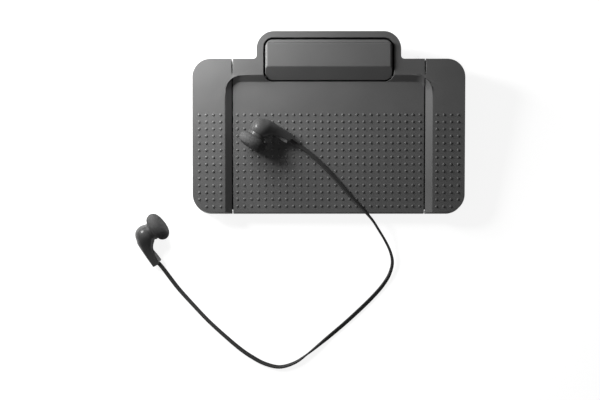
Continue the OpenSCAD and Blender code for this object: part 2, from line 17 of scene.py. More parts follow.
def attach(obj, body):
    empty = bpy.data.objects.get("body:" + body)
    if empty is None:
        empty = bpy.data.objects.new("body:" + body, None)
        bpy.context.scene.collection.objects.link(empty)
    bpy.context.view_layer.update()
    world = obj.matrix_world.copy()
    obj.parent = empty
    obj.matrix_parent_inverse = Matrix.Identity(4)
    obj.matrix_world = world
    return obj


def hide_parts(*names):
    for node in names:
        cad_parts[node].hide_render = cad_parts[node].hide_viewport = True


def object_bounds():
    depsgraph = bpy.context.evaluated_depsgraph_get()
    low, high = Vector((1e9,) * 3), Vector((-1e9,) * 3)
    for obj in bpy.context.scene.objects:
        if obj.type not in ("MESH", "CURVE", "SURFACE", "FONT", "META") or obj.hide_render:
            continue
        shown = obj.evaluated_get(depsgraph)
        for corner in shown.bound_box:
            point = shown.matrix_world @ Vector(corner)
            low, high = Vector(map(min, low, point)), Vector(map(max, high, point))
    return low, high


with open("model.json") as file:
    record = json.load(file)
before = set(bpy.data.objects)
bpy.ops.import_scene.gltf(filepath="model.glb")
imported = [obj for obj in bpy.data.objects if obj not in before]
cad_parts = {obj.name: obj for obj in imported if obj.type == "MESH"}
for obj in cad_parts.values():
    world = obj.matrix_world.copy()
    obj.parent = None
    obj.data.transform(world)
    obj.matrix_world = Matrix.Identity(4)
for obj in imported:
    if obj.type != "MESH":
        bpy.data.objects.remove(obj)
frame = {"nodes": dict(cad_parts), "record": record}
cad_low, cad_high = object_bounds()
print("CAD parts:", len(frame["nodes"]), "box", [round(v, 4) for v in (*cad_low, *cad_high)])

# %% [markdown]
# ## The camera
# The object is seen from almost straight above, as a catalogue shows a flat thing: the camera
# stands a metre and a half up and leans five degrees towards the front edge. A long lens keeps
# the two sides nearly parallel. It is made first, because the lead is laid out to suit it.

# %% Place the camera
camera_data = bpy.data.cameras.new("camera")
camera_data.lens = 116.1
camera_data.sensor_width = 36
camera = bpy.data.objects.new("camera", camera_data)
camera.location = (-0.02222, -0.19055, 1.51429)
camera.rotation_euler = (radians(5), 0, 0)
bpy.context.scene.collection.objects.link(camera)
bpy.context.scene.camera = camera
print("camera at", tuple(camera.location))

# %% [markdown]
# ## The slope that everything sits on
# The deck is a plane that rises nine degrees from its front edge. A place on it is easiest to
# give as x across, u up the slope and w straight out of the slope, so one matrix turns such
# numbers into the object's own frame.

# %% The deck's own frame
DECK_TILT = radians(9)
FRONT_Y = -0.0693
FRONT_Z = 0.018
SUNKEN = -0.005
deck = Matrix.Translation((0, FRONT_Y, FRONT_Z)) @ Matrix.Rotation(DECK_TILT, 4, "X")
deck_back = deck.inverted()
deck_up = deck.to_3x3() @ Vector((0, 0, 1))
print("top of the hump", tuple(round(v, 4) for v in deck @ Vector((0, 0.14, 0))))


# %% [markdown]
# ## Selecting by code
# Blender's modelling tools act on whatever is selected. These helpers do what a hand on
# the mouse does: start with nothing selected, pick an object, and pick the edges or faces that
# pass a test. Three more fix modifiers, a place or a mirrored mesh for good.

# %% Helpers for selection
def pick(piece):
    """Makes one object the only one selected, and active."""
    bpy.ops.object.select_all(action="DESELECT")
    piece.select_set(True)
    bpy.context.view_layer.objects.active = piece


def pick_faces(test):
    """In edit mode, selects only the faces that pass the test."""
    bpy.ops.mesh.select_mode(type="FACE")
    bpy.ops.mesh.select_all(action="DESELECT")
    mesh = bmesh.from_edit_mesh(bpy.context.edit_object.data)
    for face in mesh.faces:
        face.select_set(bool(test(face)))
    bmesh.update_edit_mesh(bpy.context.edit_object.data)


def pick_edges(test):
    """In edit mode, selects only the edges that pass the test, and returns how many."""
    bpy.ops.mesh.select_mode(type="EDGE")
    bpy.ops.mesh.select_all(action="DESELECT")
    mesh = bmesh.from_edit_mesh(bpy.context.edit_object.data)
    chosen = [edge for edge in mesh.edges if test(edge)]
    for edge in chosen:
        edge.select_set(True)
    mesh.select_flush_mode()
    bmesh.update_edit_mesh(bpy.context.edit_object.data)
    return len(chosen)


def apply_modifiers(piece):
    """Fixes every modifier on a piece into its mesh."""
    pick(piece)
    for modifier in list(piece.modifiers):
        bpy.ops.object.modifier_apply(modifier=modifier.name)


def settle(piece, place):
    """Puts a piece at its place and fixes the place into its mesh."""
    piece.matrix_world = place
    pick(piece)
    bpy.ops.object.transform_apply(location=True, rotation=True, scale=True)


def face_outward(piece):
    """Turns a mirrored piece's faces the right way out again."""
    pick(piece)
    bpy.ops.object.mode_set(mode="EDIT")
    bpy.ops.mesh.select_all(action="SELECT")
    bpy.ops.mesh.flip_normals()
    bpy.ops.object.mode_set(mode="OBJECT")


# %% [markdown]
# ## The lead
# The headset's lead is a flat rubber band, 3.2 mm wide and 1.5 mm thick, with a shallow groove
# along each face where its two wires are moulded side by side. It turns over once between the
# earphones, which is why it looks wide in some places and thin in others. The route below is
# the CAD model's: x, y, z in metres and the band's roll in degrees. A section is carried along
# it, ring by ring.

# %% The lead's route
LEAD_WIDTH = 0.0032
LEAD_THICK = 0.0015
lead_route = [
    (-0.1329, -0.1076, 0.0038, 5), (-0.1294, -0.1117, 0.0029, 5), (-0.1235, -0.1195, 0.0018, 10),
    (-0.1165, -0.1284, 0.0011, 20), (-0.105, -0.141, 0.0012, 35), (-0.0935, -0.153, 0.0013, 38),
    (-0.081, -0.1644, 0.0012, 35), (-0.069, -0.1745, 0.0011, 25), (-0.0595, -0.181, 0.001, 20),
    (-0.0495, -0.1862, 0.0012, 30), (-0.038, -0.1887, 0.0014, 45), (-0.0265, -0.1855, 0.0016, 60),
    (-0.0165, -0.1788, 0.0017, 90), (-0.007, -0.1712, 0.0016, 120), (0.001, -0.1646, 0.0013, 145),
    (0.0133, -0.1542, 0.0011, 155), (0.025, -0.1435, 0.001, 160), (0.0342, -0.1345, 0.0011, 155),
    (0.042, -0.1257, 0.0014, 145), (0.0475, -0.117, 0.0019, 132), (0.05, -0.1077, 0.003, 125),
    (0.0484, -0.0992, 0.0048, 112), (0.0445, -0.091, 0.0074, 108), (0.0393, -0.0827, 0.0109, 106),
    (0.0346, -0.0756, 0.0138, 108), (0.0293, -0.0694, 0.0152, 115), (0.0235, -0.0634, 0.0162, 130),
    (0.017, -0.0565, 0.0171, 140), (0.009, -0.0472, 0.0184, 150), (0, -0.0373, 0.02, 150),
    (-0.0095, -0.0282, 0.0213, 155), (-0.0183, -0.021, 0.0226, 160), (-0.025, -0.017, 0.024, 170),
    (-0.0282, -0.0149, 0.0261, 175), (-0.031, -0.0133, 0.0275, 180),
]


def between(a, b, c, d, t):
    """A point on the smooth curve from b to c, with a and d as its neighbours."""
    return 0.5 * (2 * b + (c - a) * t + (2 * a - 5 * b + 4 * c - d) * t * t
                  + (3 * b - a - 3 * c + d) * t ** 3)


def smooth_route(route, parts):
    """The route's points and rolls, with parts steps to each span."""
    last = len(route) - 1
    rows = [Vector(row) for row in route]
    line = [between(rows[max(0, i - 1)], rows[i], rows[i + 1], rows[min(last, i + 2)], k / parts)
            for i in range(last) for k in range(parts)]
    return line + [rows[last]]


lead_line = smooth_route(lead_route, 6)
lead_path = [row.to_3d() for row in lead_line]

# %% The lead's section
GROOVE = 0.00016
half_section = [
    (0.0, 0.5 * LEAD_THICK - GROOVE), (0.00018, 0.5 * LEAD_THICK - 0.6 * GROOVE),
    (0.00038, 0.5 * LEAD_THICK), (0.0008, 0.5 * LEAD_THICK), (0.00125, 0.5 * LEAD_THICK - 0.00003),
    (0.00147, 0.5 * LEAD_THICK - 0.00018), (0.00158, 0.5 * LEAD_THICK - 0.0004),
    (0.5 * LEAD_WIDTH, 0.0),
]
section = (half_section + [(s, -h) for s, h in reversed(half_section[:-1])]
           + [(-s, -h) for s, h in half_section[1:]]
           + [(-s, h) for s, h in reversed(half_section[1:-1])])
print("section:", len(section), "points")

# %% Sweep the section along the route
lead_points = []
for i, row in enumerate(lead_line):
    ahead = (lead_path[min(len(lead_path) - 1, i + 1)] - lead_path[max(0, i - 1)]).normalized()
    across = ahead.cross(Vector((0, 0, 1))).normalized()
    above = across.cross(ahead)
    roll = radians(row[3])
    for s, h in section:
        lead_points.append(lead_path[i] + across * (s * cos(roll) - h * sin(roll))
                           + above * (s * sin(roll) + h * cos(roll)))
n = len(section)
lead_faces = [(i * n + k, i * n + (k + 1) % n, (i + 1) * n + (k + 1) % n, (i + 1) * n + k)
              for i in range(len(lead_path) - 1) for k in range(n)]
lead_faces += [tuple(reversed(range(n))), tuple(range(len(lead_points) - n, len(lead_points)))]
lead_mesh = bpy.data.meshes.new("lead")
lead_mesh.from_pydata(lead_points, [], lead_faces)
lead = bpy.data.objects.new("lead", lead_mesh)
bpy.context.scene.collection.objects.link(lead)
pick(lead)
bpy.ops.object.mode_set(mode="EDIT")
bpy.ops.mesh.select_all(action="SELECT")
bpy.ops.mesh.normals_make_consistent(inside=False)
bpy.ops.object.mode_set(mode="OBJECT")
bpy.ops.object.shade_smooth_by_angle(angle=radians(50))
print("lead faces:", len(lead_mesh.polygons))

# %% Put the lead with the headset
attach(lead, "headset")
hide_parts("headset_lead")

# %% [markdown]
# ## Finishes shared by many parts
# Real plastic, rubber and steel are never one flat colour. The same few effects show on all of
# them at different strengths: a fine moulded grain, slight cloudiness of colour, edges lightened
# as rubbed wear and as a painted highlight, and a little dust on what faces up. Each effect is
# built once as a node group with named inputs, and each material sets them to suit itself.

# %% Helpers for node groups
def new_group(name, inputs, outputs):
    """A shader node group with float, colour or vector inputs and outputs."""
    group = bpy.data.node_groups.new(name, "ShaderNodeTree")
    kinds = {"f": "NodeSocketFloat", "c": "NodeSocketColor", "v": "NodeSocketVector"}
    for label, kind, default in inputs:
        socket = group.interface.new_socket(label, in_out="INPUT", socket_type=kinds[kind])
        if default is not None:
            socket.default_value = default
    for label, kind in outputs:
        group.interface.new_socket(label, in_out="OUTPUT", socket_type=kinds[kind])
    return group, group.nodes.new("NodeGroupInput"), group.nodes.new("NodeGroupOutput")


def math_node(tree, operation, *values):
    """A Math node; a value may be a number or another node's output."""
    node = tree.nodes.new("ShaderNodeMath")
    node.operation = operation
    for i, value in enumerate(values):
        if isinstance(value, (int, float)):
            node.inputs[i].default_value = value
        else:
            tree.links.new(value, node.inputs[i])
    return node.outputs[0]


def mix_node(tree, factor, a, b, kind="RGBA", blend="MIX"):
    """A Mix node for colours or numbers."""
    node = tree.nodes.new("ShaderNodeMix")
    node.data_type = kind
    if kind == "RGBA":
        node.blend_type = blend
    sockets = {s.identifier: s for s in node.inputs}
    suffix = "Color" if kind == "RGBA" else "Float"
    for key, value in (("Factor_Float", factor), ("A_" + suffix, a), ("B_" + suffix, b)):
        if isinstance(value, bpy.types.NodeSocket):
            tree.links.new(value, sockets[key])
        else:
            sockets[key].default_value = value
    return {s.identifier: s for s in node.outputs}["Result_" + suffix]


def noise_node(tree, vector, scale, detail=2.0, rough=0.5):
    """A Noise texture's value at a scale, which may be a number or an output."""
    node = tree.nodes.new("ShaderNodeTexNoise")
    tree.links.new(vector, node.inputs["Vector"])
    if isinstance(scale, (int, float)):
        node.inputs["Scale"].default_value = scale
    else:
        tree.links.new(scale, node.inputs["Scale"])
    node.inputs["Detail"].default_value = detail
    node.inputs["Roughness"].default_value = rough
    return node.outputs[0]


def range_node(tree, value, low, high, to_low, to_high):
    """Maps one range of numbers onto another, and stops at its ends."""
    node = tree.nodes.new("ShaderNodeMapRange")
    tree.links.new(value, node.inputs["Value"])
    for name, number in zip(("From Min", "From Max", "To Min", "To Max"), (low, high, to_low, to_high)):
        if isinstance(number, bpy.types.NodeSocket):
            tree.links.new(number, node.inputs[name])
        else:
            node.inputs[name].default_value = number
    return node.outputs[0]


print("node helpers ready")

# %% [markdown]
# ### Moulded grain
# The mould's steel is spark-eroded, so the plastic comes out with tiny rounded pits. Two sizes
# of noise stand for them: one for the pits, and a slower one that makes the grain stronger and
# weaker from place to place. The group gives a height for the bump and a shade for the colour.

# %% The grain group
grain_group, g_in, g_out = new_group(
    "moulded_grain",
    [("Vector", "v", None), ("Scale", "f", 2600.0), ("Cloud Scale", "f", 45.0)],
    [("Height", "f"), ("Shade", "f")])
pits = noise_node(grain_group, g_in.outputs["Vector"], g_in.outputs["Scale"], 3.0, 0.6)
clouds = noise_node(grain_group, g_in.outputs["Vector"], g_in.outputs["Cloud Scale"], 3.0, 0.5)
strength = range_node(grain_group, clouds, 0.3, 0.7, 0.75, 1.0)
height = math_node(grain_group, "MULTIPLY", pits, strength)
cloudy = math_node(grain_group, "MULTIPLY", clouds, 0.65)
shade = math_node(grain_group, "MULTIPLY_ADD", pits, 0.35, cloudy)
grain_group.links.new(height, g_out.inputs["Height"])
grain_group.links.new(shade, g_out.inputs["Shade"])
print("group:", grain_group.name)

# %% [markdown]
# ### Rubbed edges and painted edge highlight
# Shoes, fingers and cloths polish corners first. A Bevel node gives the direction that the
# surface would face if its edges were rounder, and where that differs from the real direction
# there is an edge. Noise breaks the line up so that it isn't drawn evenly. The mask lightens the
# colour along the edges, partly as rubbed wear and partly as a painted highlight.

# %% The rubbed-edge and painted-highlight group
edge_wear_highlight_group, e_in, e_out = new_group(
    "rubbed_and_highlit_edges", [("Vector", "v", None), ("Width", "f", 0.0006), ("Amount", "f", 1.0)],
    [("Mask", "f")])
rounder = edge_wear_highlight_group.nodes.new("ShaderNodeBevel")
rounder.samples = 4
edge_wear_highlight_group.links.new(e_in.outputs["Width"], rounder.inputs["Radius"])
facing = edge_wear_highlight_group.nodes.new("ShaderNodeNewGeometry")
compare = edge_wear_highlight_group.nodes.new("ShaderNodeVectorMath")
compare.operation = "DOT_PRODUCT"
edge_wear_highlight_group.links.new(rounder.outputs["Normal"], compare.inputs[0])
edge_wear_highlight_group.links.new(facing.outputs["Normal"], compare.inputs[1])
turned = range_node(edge_wear_highlight_group, compare.outputs["Value"], 0.98, 0.75, 0.0, 1.0)
broken = range_node(edge_wear_highlight_group, noise_node(edge_wear_highlight_group, e_in.outputs["Vector"], 220.0, 4.0, 0.6),
                    0.35, 0.65, 0.25, 1.0)
mask = math_node(edge_wear_highlight_group, "MULTIPLY", math_node(edge_wear_highlight_group, "MULTIPLY", turned, broken),
                 e_in.outputs["Amount"])
edge_wear_highlight_group.links.new(mask, e_out.inputs["Mask"])
print("group:", edge_wear_highlight_group.name)

# %% [markdown]
# ### Settled dust
# Dust lies only on what faces up, in soft patches with fine specks. It lightens the colour a
# little and takes the shine away.

# %% The dust group
dust_group, d_in, d_out = new_group(
    "settled_dust", [("Vector", "v", None), ("Amount", "f", 0.1)], [("Mask", "f")])
up = dust_group.nodes.new("ShaderNodeNewGeometry")
split = dust_group.nodes.new("ShaderNodeSeparateXYZ")
dust_group.links.new(up.outputs["Normal"], split.inputs[0])
faces_up = range_node(dust_group, split.outputs["Z"], 0.35, 0.95, 0.0, 1.0)
patches = range_node(dust_group, noise_node(dust_group, d_in.outputs["Vector"], 28.0, 4.0, 0.6),
                     0.35, 0.75, 0.2, 1.0)
specks = range_node(dust_group, noise_node(dust_group, d_in.outputs["Vector"], 1900.0, 1.0, 0.5),
                    0.66, 0.74, 0.0, 1.0)
amount = math_node(dust_group, "ADD", patches, math_node(dust_group, "MULTIPLY", specks, 0.8))
dust = math_node(dust_group, "MULTIPLY", math_node(dust_group, "MULTIPLY", amount, faces_up),
                 d_in.outputs["Amount"])
dust_group.links.new(dust, d_out.inputs["Mask"])
print("group:", dust_group.name)

# %% [markdown]
# ### Foam
# An earphone's pad is open foam: round cells under half a millimetre across with thin walls
# between them. A Voronoi pattern gives the cells, and noise bends their walls.

# %% The foam group
foam_group, f_in, f_out = new_group(
    "foam_cells", [("Vector", "v", None), ("Cell Scale", "f", 2300.0)],
    [("Height", "f"), ("Shade", "f")])
warp = foam_group.nodes.new("ShaderNodeTexNoise")
foam_group.links.new(f_in.outputs["Vector"], warp.inputs["Vector"])
warp.inputs["Scale"].default_value = 1400.0
bent = foam_group.nodes.new("ShaderNodeVectorMath")
bent.operation = "MULTIPLY_ADD"
foam_group.links.new(warp.outputs["Color"], bent.inputs[0])
bent.inputs[1].default_value = (0.0004, 0.0004, 0.0004)
foam_group.links.new(f_in.outputs["Vector"], bent.inputs[2])
cells = foam_group.nodes.new("ShaderNodeTexVoronoi")
cells.feature = "SMOOTH_F1"
foam_group.links.new(bent.outputs[0], cells.inputs["Vector"])
foam_group.links.new(f_in.outputs["Cell Scale"], cells.inputs["Scale"])
coarse = noise_node(foam_group, f_in.outputs["Vector"], 420.0, 3.0, 0.6)
foam_height = math_node(foam_group, "MULTIPLY_ADD", coarse, 0.5, cells.outputs["Distance"])
foam_shade = range_node(foam_group, cells.outputs["Distance"], 0.05, 0.65, 0.0, 1.0)
foam_group.links.new(foam_height, f_out.inputs["Height"])
foam_group.links.new(foam_shade, f_out.inputs["Shade"])
print("group:", foam_group.name)

# %% [markdown]
# ### Putting a finish together
# Every material starts from the same chain: a base colour and a darker and lighter neighbour,
# mixed by the grain's shade; the edge mask lightens it, partly as rubbed wear and partly as a
# painted highlight; dust lies on top. The numbers that are the same all over, such as the
# specular level, are set on the shader itself.

# %% The material maker
def use_group(tree, group, **values):
    """Adds a group node and sets or links its inputs by name."""
    node = tree.nodes.new("ShaderNodeGroup")
    node.node_tree = group
    for key, value in values.items():
        socket = node.inputs[key.replace("_", " ")]
        if isinstance(value, bpy.types.NodeSocket):
            tree.links.new(value, socket)
        else:
            socket.default_value = value
    return node


def grey(value):
    """A neutral colour of that brightness."""
    return (value, value, value, 1.0)


def finish(name, dark, light, rough=(0.4, 0.5), grain=2600.0, depth=0.00002, edge=0.0,
           edge_wear_highlight_colour=grey(0.2), dust=0.05, metallic=0.0, specular=0.5, coat=0.0):
    """A material from the shared effects; dark and light are its base colour's two ends."""
    material = bpy.data.materials.new(name)
    material.use_nodes = True
    tree = material.node_tree
    shader = tree.nodes["Principled BSDF"]
    where = tree.nodes.new("ShaderNodeTexCoord").outputs["Object"]
    texture = use_group(tree, grain_group, Vector=where, Scale=grain)
    colour = mix_node(tree, texture.outputs["Shade"], dark, light)
    gloss = range_node(tree, texture.outputs["Shade"], 0.3, 0.7, rough[0], rough[1])
    # The edge mask mixes a lighter colour along the edges: rubbed wear and a painted highlight.
    if edge:
        rubbed_and_highlit = use_group(tree, edge_wear_highlight_group, Vector=where, Amount=edge).outputs["Mask"]
        colour = mix_node(tree, rubbed_and_highlit, colour, edge_wear_highlight_colour)
        gloss = mix_node(tree, rubbed_and_highlit, gloss, max(0.1, rough[0] - 0.12), "FLOAT")
    if dust:
        dusty = use_group(tree, dust_group, Vector=where, Amount=dust).outputs["Mask"]
        colour = mix_node(tree, dusty, colour, (0.42, 0.41, 0.39, 1))
        gloss = mix_node(tree, dusty, gloss, 0.85, "FLOAT")
    tree.links.new(colour, shader.inputs["Base Color"])
    tree.links.new(gloss, shader.inputs["Roughness"])
    bump = tree.nodes.new("ShaderNodeBump")
    bump.inputs["Strength"].default_value = 1.0
    bump.inputs["Distance"].default_value = depth
    tree.links.new(texture.outputs["Height"], bump.inputs["Height"])
    tree.links.new(bump.outputs["Normal"], shader.inputs["Normal"])
    shader.inputs["Metallic"].default_value = metallic
    shader.inputs["Specular IOR Level"].default_value = specular
    shader.inputs["Coat Weight"].default_value = coat
    return material


print("material maker ready")

# %% [markdown]
# ### The plastics
# All of the foot control is one dark grey plastic. The mould is rougher on the areas that a
# shoe presses, and the base under the pedals is nearly black. The earphones are glossy.

# %% Plastic materials
# The lighter edge colours here are painted along the edges, as rubbed wear and as a highlight.
pedal_plastic = finish("pedal_plastic", grey(0.070), grey(0.098), rough=(0.36, 0.46), grain=2400,
                       depth=0.000012, edge=0.55, edge_wear_highlight_colour=grey(0.17), dust=0.01)
bar_plastic = finish("bar_plastic", grey(0.078), grey(0.100), rough=(0.34, 0.42), grain=3000,
                     depth=0.000008, edge=0.5, edge_wear_highlight_colour=grey(0.18), dust=0.01)
dot_plastic = finish("dot_plastic", grey(0.078), grey(0.105), rough=(0.30, 0.38), grain=3000,
                     depth=0.000006, dust=0.01)
tray_plastic = finish("tray_plastic", grey(0.030), grey(0.045), rough=(0.5, 0.6), grain=1800,
                      depth=0.00002, edge=0.4, edge_wear_highlight_colour=grey(0.04), dust=0.03)
ear_gloss = finish("ear_plastic", grey(0.040), grey(0.050), rough=(0.26, 0.32), grain=900,
                   depth=0.000002, dust=0.006)
ear_strip = finish("ear_trim", grey(0.14), grey(0.18), rough=(0.3, 0.4), grain=2400,
                   depth=0.000006, edge=0.3, edge_wear_highlight_colour=grey(0.2), dust=0.01)
header_plastic = finish("header_plastic", (0.70, 0.66, 0.54, 1), (0.78, 0.74, 0.62, 1),
                        rough=(0.35, 0.45), grain=1500, depth=0.000008, dust=0.03)
chip_plastic = finish("chip", grey(0.012), grey(0.022), rough=(0.5, 0.62), grain=5000,
                      depth=0.00001, dust=0.04)
print("plastics ready")

# %% [markdown]
# ### Rubber, steel and the board
# The mat, buffers and grommet are matt black rubber. The ballast plate is zinc-plated steel
# with a cloudy grain, the rods are ground bright, and the springs and screws are plated. The
# circuit board is green varnish over glass cloth.

# %% The other hard materials
mat_rubber = finish("mat_rubber", grey(0.010), grey(0.020), rough=(0.75, 0.9), grain=1500,
                    depth=0.00005, dust=0.05)
buffer_rubber = finish("buffer_rubber", (0.05, 0.035, 0.03, 1), (0.075, 0.055, 0.045, 1),
                       rough=(0.7, 0.85), grain=1700, depth=0.00003, dust=0.04)
lead_rubber = finish("lead_rubber", grey(0.022), grey(0.032), rough=(0.38, 0.48), grain=1700,
                     depth=0.000008, dust=0.015)
ballast_steel = finish("ballast_steel", (0.50, 0.51, 0.52, 1), (0.64, 0.65, 0.66, 1),
                       rough=(0.34, 0.5), grain=700, depth=0.000008, dust=0.03, metallic=1.0)
rod_steel = finish("rod_steel", (0.60, 0.60, 0.61, 1), (0.72, 0.72, 0.73, 1), rough=(0.16, 0.26),
                   grain=3500, depth=0.000003, dust=0.01, metallic=1.0)
spring_steel = finish("spring_steel", (0.52, 0.52, 0.53, 1), (0.66, 0.66, 0.67, 1),
                      rough=(0.25, 0.35), grain=2500, depth=0.000003, dust=0.01, metallic=1.0)
# The screws' pale edge colour is rubbed wear and a painted highlight along their edges.
screw_steel = finish("screw_steel", (0.55, 0.54, 0.50, 1), (0.68, 0.67, 0.62, 1),
                     rough=(0.28, 0.38), grain=2800, depth=0.000004, edge=0.5,
                     edge_wear_highlight_colour=grey(0.8), dust=0.02, metallic=1.0)
magnet_metal = finish("magnet_metal", (0.58, 0.58, 0.60, 1), (0.70, 0.70, 0.72, 1),
                      rough=(0.12, 0.22), grain=1800, depth=0.000003, dust=0.01, metallic=1.0)
driver_metal = finish("driver_metal", (0.42, 0.42, 0.43, 1), (0.55, 0.55, 0.56, 1),
                      rough=(0.3, 0.4), grain=2200, depth=0.000005, dust=0.01, metallic=1.0)
grille_metal = finish("grille_metal", grey(0.10), grey(0.16), rough=(0.35, 0.45), grain=2600,
                      depth=0.000006, dust=0.02, metallic=1.0)
board_varnish = finish("board", (0.015, 0.09, 0.045, 1), (0.03, 0.14, 0.07, 1),
                       rough=(0.25, 0.38), grain=1600, depth=0.000015, dust=0.03, coat=0.3)
print("metals, rubbers and board ready")

# %% The foam material
ear_foam = bpy.data.materials.new("ear_foam")
ear_foam.use_nodes = True
foam_tree = ear_foam.node_tree
foam_shader = foam_tree.nodes["Principled BSDF"]
foam_where = foam_tree.nodes.new("ShaderNodeTexCoord").outputs["Object"]
foam_look = use_group(foam_tree, foam_group, Vector=foam_where)
foam_colour = mix_node(foam_tree, foam_look.outputs["Shade"], grey(0.075), grey(0.035))
foam_dust = use_group(foam_tree, dust_group, Vector=foam_where, Amount=0.03).outputs["Mask"]
foam_colour = mix_node(foam_tree, foam_dust, foam_colour, grey(0.2))
foam_tree.links.new(foam_colour, foam_shader.inputs["Base Color"])
foam_tree.links.new(range_node(foam_tree, foam_look.outputs["Shade"], 0.0, 1.0, 0.85, 1.0),
                    foam_shader.inputs["Roughness"])
foam_bump = foam_tree.nodes.new("ShaderNodeBump")
foam_bump.inputs["Strength"].default_value = 0.8
foam_bump.inputs["Distance"].default_value = 0.00025
foam_tree.links.new(foam_look.outputs["Height"], foam_bump.inputs["Height"])
foam_tree.links.new(foam_bump.outputs["Normal"], foam_shader.inputs["Normal"])
foam_shader.inputs["Specular IOR Level"].default_value = 0.25
print("foam ready")

# %% [markdown]
# ## Finishes on the measured parts
# Parts whose CAD shape is already right only need their material. Each material slot of the
# record gets one finish, and every part in that slot takes it.

# %% Assign materials by slot
finishes = {
    "tray_plastic": tray_plastic, "pedal_plastic": pedal_plastic, "bar_plastic": bar_plastic,
    "mat_rubber": mat_rubber, "buffer_rubber": buffer_rubber, "ballast_steel": ballast_steel,
    "rod_steel": rod_steel, "screw_steel": screw_steel, "spring_steel": spring_steel,
    "magnet_metal": magnet_metal, "board": board_varnish, "chip": chip_plastic,
    "header_plastic": header_plastic, "ear_plastic": ear_gloss, "ear_trim": ear_strip,
    "driver_metal": driver_metal, "grille_metal": grille_metal, "ear_foam": ear_foam,
    "lead_rubber": lead_rubber,
}


def dress(piece, material):
    """Gives a piece one material all over."""
    piece.data.materials.clear()
    piece.data.materials.append(material)


for part in frame["record"]["subparts"]:
    dress(frame["nodes"][part["node"]], finishes[part["material_slot"]])
dress(lead, lead_rubber)

# %% [markdown]
# ## The pedals
# The four pedals are thin plastic shells, so a solid block won't do: their springs, ribs and
# pivots are inside. A copy of each shell's mesh is cleaned up, its loose triangles are joined
# into whole faces, and then the edges that face the typist are picked by their place and
# direction and rounded with a bevel, as the mould rounds them. The hidden ones stay sharp.

# %% A helper that rounds a pedal's upper edges
def rounded_copy(node, name, test, width, segments=4):
    """A merged copy of a CAD part, with the edges that pass the test bevelled to that width."""
    piece = bpy.data.objects.new(name, frame["nodes"][node].data.copy())
    bpy.context.scene.collection.objects.link(piece)
    pick(piece)
    bpy.ops.mesh.customdata_custom_splitnormals_clear()
    bpy.ops.object.mode_set(mode="EDIT")
    bpy.ops.mesh.select_mode(type="VERT")
    bpy.ops.mesh.select_all(action="SELECT")
    bpy.ops.mesh.remove_doubles(threshold=0.000002)
    bpy.ops.mesh.dissolve_limited(angle_limit=radians(0.6))
    count = pick_edges(test)
    bpy.ops.mesh.bevel(offset=width, segments=segments, profile=0.5, affect="EDGES",
                       clamp_overlap=False)
    bpy.ops.object.mode_set(mode="OBJECT")
    bpy.ops.object.shade_smooth_by_angle(angle=radians(32))
    weighted = piece.modifiers.new("weighted", "WEIGHTED_NORMAL")
    weighted.keep_sharp = True
    weighted.weight = 80
    apply_modifiers(piece)
    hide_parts(node)
    print(name, "edges rounded:", count, "faces:", len(piece.data.polygons))
    return piece


def upper_edge(lowest, sharpness=20):
    """A test: a sharp edge beside a face that looks up, no lower than that under the deck."""
    def test(edge):
        if len(edge.link_faces) != 2 or edge.calc_face_angle(0) < radians(sharpness):
            return False
        if max(face.normal.dot(deck_up) for face in edge.link_faces) < 0.3:
            return False
        return min((deck_back @ v.co).z for v in edge.verts) > lowest
    return test


# %% Round the side pedals and the plate
LOWEST_ROUNDED = -0.0052
EDGE_ROUND = 0.00045
for node, body in (("left_pedal", "left_side"), ("right_pedal", "right_side"),
                   ("centre_pedal", "centre")):
    skin = rounded_copy(node, node + "_shell", upper_edge(LOWEST_ROUNDED), EDGE_ROUND)
    dress(skin, pedal_plastic)
    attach(skin, body)

# %% Round the bar pedal
BAR_LOWEST_ROUNDED = -0.0055
BAR_ROUND = 0.0006
bar_skin = rounded_copy("bar_pedal", "bar_pedal_shell", upper_edge(BAR_LOWEST_ROUNDED), BAR_ROUND)
dress(bar_skin, bar_plastic)
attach(bar_skin, "bar")

# %% [markdown]
# ## The grip dots
# Rows of low domes keep a shoe from slipping. They are moulded with the pedals, so they belong
# to them: fourteen rows up the slope, twenty-seven across the plate and four on each side
# pedal. One dome is modelled from a twelve-sided disc, drawn in and raised ring by ring, and
# then repeated by two Array modifiers, which is how a regular grid is best made.

# %% Model one dot
DOT_RADIUS = 0.0011
DOT_SINK = 0.00006
dot_rings = [(0.93, 0.00028), (0.72, 0.00055), (0.40, 0.00071)]


def one_dot(name):
    """A low dome at the origin, with a few dozen faces."""
    bpy.ops.object.select_all(action="DESELECT")
    bpy.ops.mesh.primitive_circle_add(vertices=12, radius=DOT_RADIUS, fill_type="NGON",
                                      location=(0, 0, 0))
    dot = bpy.context.active_object
    dot.name = name
    bpy.ops.object.mode_set(mode="EDIT")
    bpy.ops.mesh.select_all(action="SELECT")
    reach, height = 1.0, 0.0
    for share, up in dot_rings:
        bpy.ops.mesh.extrude_region_move(TRANSFORM_OT_translate={"value": (0, 0, up - height)})
        size = share / reach
        bpy.ops.transform.resize(value=(size, size, 1), center_override=(0, 0, up))
        reach, height = share, up
    bpy.ops.mesh.select_all(action="SELECT")
    bpy.ops.mesh.normals_make_consistent(inside=False)
    bpy.ops.object.mode_set(mode="OBJECT")
    bpy.ops.object.shade_smooth()
    return dot


# %% Repeat it in rows
DOT_ROWS = 14
FIRST_ROW = 0.00457
ROW_STEP = 0.00547
PLATE_COLUMNS = 27
PLATE_SPAN = 0.1418
SIDE_COLUMNS = 4
SIDE_SPAN = 0.0167
LEFT_FIRST_X = -0.1003
RIGHT_FIRST_X = 0.0836


